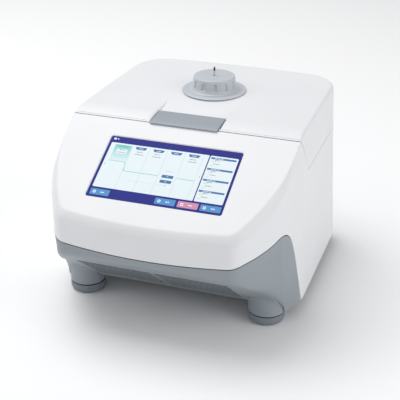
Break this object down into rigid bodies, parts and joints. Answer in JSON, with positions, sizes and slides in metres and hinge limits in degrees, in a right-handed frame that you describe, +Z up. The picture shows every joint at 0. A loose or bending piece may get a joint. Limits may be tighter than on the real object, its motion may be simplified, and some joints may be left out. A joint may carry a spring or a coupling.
{
  "type": "thermal cycler",
  "caption": "Bench-top thermal cycler: sloping touch screen in front of a rear-hinged heated lid with a pressure knob and a front latch, on a grey base with feet.",
  "frame": {"origin": "on the bench under the middle of the machine's box, level with the bottom of the feet", "axes": "+Z up, +Y to the back of the machine, +X to the right as seen from the front"},
  "size_m": [0.287, 0.34, 0.243],
  "materials": {
    "shell_white": "fine moulded texture, satin",
    "base_grey": "fine moulded texture, satin",
    "latch_grey": "satin",
    "knob_grey": "satin",
    "foot_rubber": "matt",
    "screen": "clear glossy touch panel over a lit display",
    "display_can": "matt",
    "circuit_board": "solder mask",
    "dark_plastic": "matt",
    "inner_grey": "satin",
    "block_metal": "machined",
    "supply_case": "folded sheet",
    "ceramic": "matt",
    "heater_silicone": "matt",
    "steel": "brushed",
    "bush_metal": "machined"
  },
  "bodies": {
    "machine": {"base_tray": "base_grey", "intake_grille": "base_grey", "foot_pod_front_left": "base_grey", "foot_pod_front_right": "base_grey", "foot_pod_rear_left": "base_grey", "foot_pod_rear_right": "base_grey", "foot_cap_front_left": "foot_rubber", "foot_cap_front_right": "foot_rubber", "foot_cap_rear_left": "foot_rubber", "foot_cap_rear_right": "foot_rubber", "upper_housing": "shell_white", "display_window": "screen", "lcd_panel": "display_can", "display_board": "circuit_board", "rear_panel": "base_grey", "fan_frame_left": "dark_plastic", "fan_frame_right": "dark_plastic", "power_inlet": "dark_plastic", "chamber_deck": "inner_grey", "block_frame": "dark_plastic", "sample_block": "block_metal", "peltier_module_1": "ceramic", "peltier_module_2": "ceramic", "peltier_module_3": "ceramic", "peltier_module_4": "ceramic", "peltier_module_5": "ceramic", "peltier_module_6": "ceramic", "heat_sink": "block_metal", "power_supply": "supply_case", "main_board": "circuit_board", "hinge_bracket_left": "steel", "hinge_bracket_right": "steel", "hinge_pin": "steel", "latch_strike": "steel"},
    "fan_left": {"fan_rotor_left": "dark_plastic"},
    "fan_right": {"fan_rotor_right": "dark_plastic"},
    "rocker": {"power_rocker": "dark_plastic"},
    "fuse": {"fuse_drawer": "dark_plastic"},
    "lid": {"lid_cover": "shell_white", "lid_pan": "inner_grey", "lid_frame": "steel", "hinge_arm_left": "steel", "hinge_arm_right": "steel", "knob_collar": "knob_grey", "spindle_bush": "bush_metal", "guide_post_left": "steel", "guide_post_right": "steel", "latch_pin": "steel"},
    "knob": {"pressure_knob": "knob_grey", "spindle": "steel"},
    "plate": {"carrier_plate": "steel", "heated_plate": "block_metal", "heater_mat": "heater_silicone", "plate_cover": "dark_plastic", "height_pin": "steel", "plate_spring_left": "steel", "plate_spring_right": "steel"},
    "latch": {"latch_tab": "latch_grey", "latch_spring": "steel"}
  },
  "joints": [
    {"name": "lid_hinge", "type": "hinge", "parent": "machine", "child": "lid", "pos_m": [0, 0.162, 0.1645], "axis": [-1, 0, 0], "range_deg": [0, 80]},
    {"name": "knob_turn", "type": "hinge", "parent": "lid", "child": "knob", "pos_m": [0, 0.067, 0.22], "axis": [0, 0, 1], "range_deg": [-720, 0]},
    {"name": "plate_slide", "type": "slide", "parent": "lid", "child": "plate", "axis": [0, 0, 1], "range_m": [-0.008, 0]},
    {"name": "latch_lift", "type": "hinge", "parent": "lid", "child": "latch", "pos_m": [0, -0.01, 0.2056], "axis": [-1, 0, 0], "range_deg": [0, 10], "stiffness_Nm_per_rad": 0.05, "springref_deg": -11.46},
    {"name": "fan_spin_left", "type": "hinge", "parent": "machine", "child": "fan_left", "pos_m": [-0.044, 0.152, 0.095], "axis": [0, 1, 0], "continuous": true},
    {"name": "fan_spin_right", "type": "hinge", "parent": "machine", "child": "fan_right", "pos_m": [0.044, 0.152, 0.095], "axis": [0, 1, 0], "continuous": true},
    {"name": "rocker_tip", "type": "hinge", "parent": "machine", "child": "rocker", "pos_m": [0.014, 0.164, 0.04], "axis": [1, 0, 0], "range_deg": [0, 18]},
    {"name": "fuse_slide", "type": "slide", "parent": "machine", "child": "fuse", "axis": [0, 1, 0], "range_m": [0, 0.012]}
  ],
  "couplings": [
    {"joint": "knob_turn", "follows": "plate_slide", "rad_per_m": 1570.7}
  ]
}
